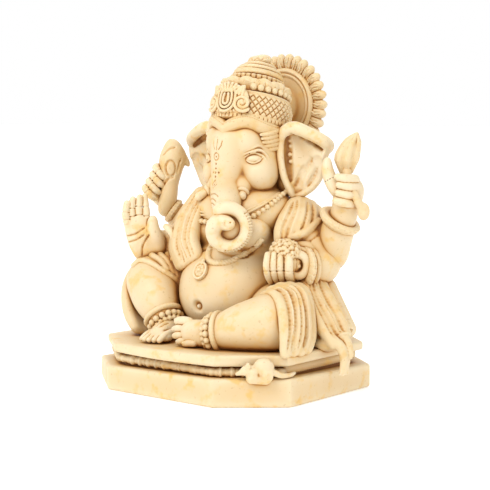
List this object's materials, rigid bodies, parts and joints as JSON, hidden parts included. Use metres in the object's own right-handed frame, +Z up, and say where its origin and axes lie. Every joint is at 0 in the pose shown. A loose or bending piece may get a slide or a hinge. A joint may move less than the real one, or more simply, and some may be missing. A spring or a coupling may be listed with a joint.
{
  "type": "ganesha idol",
  "caption": "Small seated elephant-headed devotional idol with four arms, tall crown and halo, cast in antiqued ivory resin on a cut-corner plinth.",
  "frame": {"origin": "middle of the plinth's flat underside", "axes": "+Z up; the idol faces -Y; +X is the idol's own left, which is the viewer's right from the front"},
  "size_m": [0.0973, 0.0824, 0.1218],
  "materials": {
    "resin_base": "cast ivory resin, ochre antiquing, satin",
    "resin_skin": "cast ivory resin, smooth satin skin",
    "resin_cloth": "cast ivory resin, brown wash in the folds",
    "resin_ornament": "cast ivory resin, dark brown wash between the beads"
  },
  "bodies": {
    "root": {"axe": "resin_ornament", "base_plinth": "resin_base", "bead_necklace": "resin_ornament", "belly": "resin_skin", "bolster_roll": "resin_cloth", "chest": "resin_skin", "chest_cord": "resin_ornament", "crown_brim": "resin_ornament", "crown_crest": "resin_ornament", "crown_lattice_band": "resin_ornament", "crown_lower_tier": "resin_ornament", "crown_pearls": "resin_ornament", "crown_upper_tier": "resin_ornament", "dhoti_hips": "resin_cloth", "finial": "resin_ornament", "halo_petals": "resin_ornament", "halo_plate": "resin_ornament", "hanging_shawl": "resin_cloth", "head": "resin_skin", "left_anklet": "resin_ornament", "left_ear": "resin_skin", "left_foot": "resin_skin", "left_front_arm": "resin_skin", "left_front_cuff": "resin_ornament", "left_front_hand": "resin_skin", "left_knee_drape": "resin_cloth", "left_leg": "resin_skin", "left_rear_arm": "resin_skin", "left_rear_cuff": "resin_ornament", "left_rear_hand": "resin_skin", "left_shoulder_shawl": "resin_cloth", "left_temple_curls": "resin_skin", "left_tusk": "resin_skin", "lotus": "resin_ornament", "mouse": "resin_base", "neck": "resin_skin", "pendant": "resin_ornament", "reeded_moulding": "resin_base", "right_anklet": "resin_ornament", "right_ear": "resin_skin", "right_foot": "resin_skin", "right_front_arm": "resin_skin", "right_front_cuff": "resin_ornament", "right_front_hand": "resin_skin", "right_knee_drape": "resin_cloth", "right_leg": "resin_skin", "right_rear_arm": "resin_skin", "right_rear_cuff": "resin_ornament", "right_rear_hand": "resin_skin", "right_shoulder_shawl": "resin_cloth", "right_temple_curls": "resin_skin", "right_tusk": "resin_skin", "rope_moulding": "resin_base", "seat_core": "resin_base", "seat_slab": "resin_base", "sweet_bowl": "resin_ornament", "sweets": "resin_ornament", "trunk": "resin_skin", "trunk_coil": "resin_skin", "trunk_tip": "resin_skin"}
  },
  "joints": []
}
